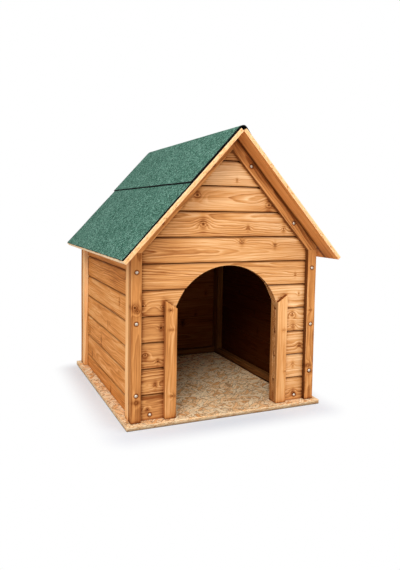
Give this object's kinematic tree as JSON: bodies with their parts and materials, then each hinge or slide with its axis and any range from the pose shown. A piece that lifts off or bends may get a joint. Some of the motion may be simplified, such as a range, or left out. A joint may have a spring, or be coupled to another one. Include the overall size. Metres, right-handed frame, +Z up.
{
  "type": "dog house",
  "caption": "Wooden gable-roofed kennel: shiplap walls on a strand board base, arched doorway with battens, and two roof panels covered with green mineral felt.",
  "frame": {"origin": "on the ground under the middle of the roof, centre of the bounding box's underside", "axes": "+Z up, +X to the right seen from the front, the front wall with its doorway faces -Y"},
  "size_m": [0.918, 1.09, 1.1275],
  "materials": {
    "stained_boards": "orange-brown translucent stain on planed softwood, horizontal grain with knots",
    "stained_battens": "orange-brown translucent stain on planed softwood, grain along the batten",
    "inner_battens": "stained softwood battens inside",
    "strand_board": "oriented strand board, natural, with visible strands",
    "mineral_felt": "bitumen roofing felt with green mineral granules and black cut edges",
    "zinc_screws": "bright zinc-plated pan heads with a cross recess"
  },
  "bodies": {
    "root": {"base_board": "strand_board", "base_screws": "zinc_screws", "corner_batten_front_left": "inner_battens", "corner_batten_front_right": "inner_battens", "corner_batten_rear_left": "inner_battens", "corner_batten_rear_right": "inner_battens", "door_batten_left": "stained_battens", "door_batten_right": "stained_battens", "floor_batten_front_left": "inner_battens", "floor_batten_front_right": "inner_battens", "floor_batten_left": "inner_battens", "floor_batten_rear": "inner_battens", "floor_batten_right": "inner_battens", "front_board_01": "stained_boards", "front_board_02": "stained_boards", "front_board_03": "stained_boards", "front_board_04": "stained_boards", "front_board_05": "stained_boards", "front_board_06": "stained_boards", "front_board_07": "stained_boards", "front_board_08": "stained_boards", "front_board_09": "stained_boards", "front_board_10": "stained_boards", "front_board_11": "stained_boards", "front_post_left": "stained_battens", "front_post_right": "stained_battens", "front_wall_screws": "zinc_screws", "gable_rafter_front_left": "stained_battens", "gable_rafter_front_right": "stained_battens", "gable_rafter_rear_left": "stained_battens", "gable_rafter_rear_right": "stained_battens", "inner_door_batten_left": "inner_battens", "inner_door_batten_right": "inner_battens", "left_wall_boards": "stained_boards", "rear_post_left": "stained_battens", "rear_post_right": "stained_battens", "rear_wall_boards": "stained_boards", "rear_wall_screws": "zinc_screws", "ridge_felt": "mineral_felt", "right_wall_boards": "stained_boards", "roof_batten_front_left": "inner_battens", "roof_batten_front_right": "inner_battens", "roof_batten_rear_left": "inner_battens", "roof_batten_rear_right": "inner_battens", "roof_felt_left": "mineral_felt", "roof_felt_right": "mineral_felt", "roof_panel_left": "strand_board", "roof_panel_right": "strand_board", "side_post_front_left": "stained_battens", "side_post_front_right": "stained_battens", "side_post_rear_left": "stained_battens", "side_post_rear_right": "stained_battens", "wall_plate_left": "inner_battens", "wall_plate_right": "inner_battens"}
  },
  "joints": []
}
